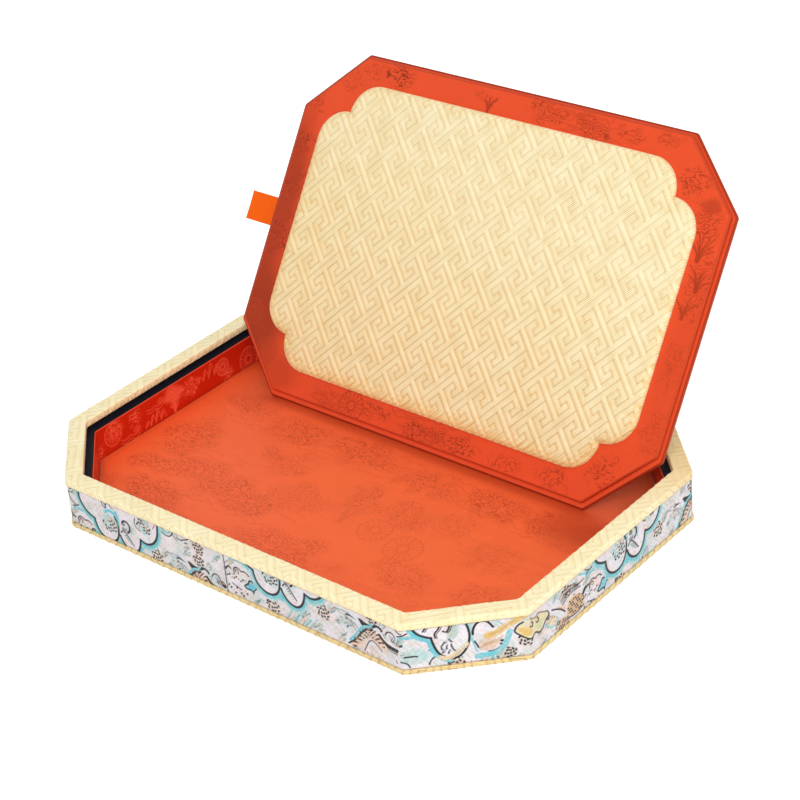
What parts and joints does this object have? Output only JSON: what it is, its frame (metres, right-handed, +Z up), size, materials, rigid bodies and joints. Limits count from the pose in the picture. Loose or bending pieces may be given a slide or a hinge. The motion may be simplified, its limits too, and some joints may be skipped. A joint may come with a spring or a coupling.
{
  "type": "brocade presentation box",
  "caption": "Flat eight-sided brocade presentation box: a recessed tray with a loose cushioned lid panel that leans open on its floor, with a ribbon tab.",
  "frame": {"origin": "middle of the tray's underside", "axes": "+X along the long side, +Y from the front to the back that the lid leans towards, +Z up"},
  "size_m": [0.307, 0.2515, 0.1645],
  "materials": {
    "greyboard": "matte pressed board",
    "cream_brocade": "woven key-fret brocade, soft sheen",
    "figured_brocade": "white satin brocade with coloured figures",
    "black_cloth": "black plain cloth",
    "red_jacquard": "deep red tone-on-tone jacquard",
    "floor_jacquard": "orange-red satin jacquard",
    "lid_jacquard": "orange-red jacquard",
    "cushion_brocade": "padded key-fret brocade",
    "wadding": "loose wadding",
    "ribbon_satin": "orange satin ribbon",
    "backing_paper": "plain backing paper"
  },
  "bodies": {
    "tray": {"base_board": "greyboard", "base_wrap": "cream_brocade", "base_sheet": "backing_paper", "side_band": "figured_brocade", "ledge_frame": "greyboard", "riser_frame": "greyboard", "recess_lining": "black_cloth", "rim_frame": "greyboard", "rim_cover": "cream_brocade", "floor_card": "greyboard", "floor_lining": "floor_jacquard", "inner_lining": "red_jacquard", "wall_front": "greyboard", "inner_wall_front": "greyboard", "wall_front_right": "greyboard", "inner_wall_front_right": "greyboard", "wall_right": "greyboard", "inner_wall_right": "greyboard", "wall_back_right": "greyboard", "inner_wall_back_right": "greyboard", "wall_back": "greyboard", "inner_wall_back": "greyboard", "wall_back_left": "greyboard", "inner_wall_back_left": "greyboard", "wall_left": "greyboard", "inner_wall_left": "greyboard", "wall_front_left": "greyboard", "inner_wall_front_left": "greyboard"},
    "lid": {"lid_face_board": "greyboard", "lid_face_wrap": "lid_jacquard", "lid_back_board": "greyboard", "lid_back_wrap": "lid_jacquard", "lid_back_sheet": "backing_paper", "ribbon_root": "ribbon_satin", "cushion_card": "greyboard", "cushion_wadding": "wadding", "cushion_cover": "cushion_brocade"},
    "pull_tab": {"pull_ribbon": "ribbon_satin"}
  },
  "joints": [
    {"name": "lid_lift", "type": "slide", "parent": "tray", "child": "lid", "axis": [0, 0, 1], "range_m": [0, 0.06]},
    {"name": "ribbon_fold", "type": "hinge", "parent": "lid", "child": "pull_tab", "pos_m": [-0.1377, 0.09141, 0.084], "axis": [0, 0.5548, 0.832], "range_deg": [-90, 90], "stiffness_Nm_per_rad": 0.002}
  ]
}
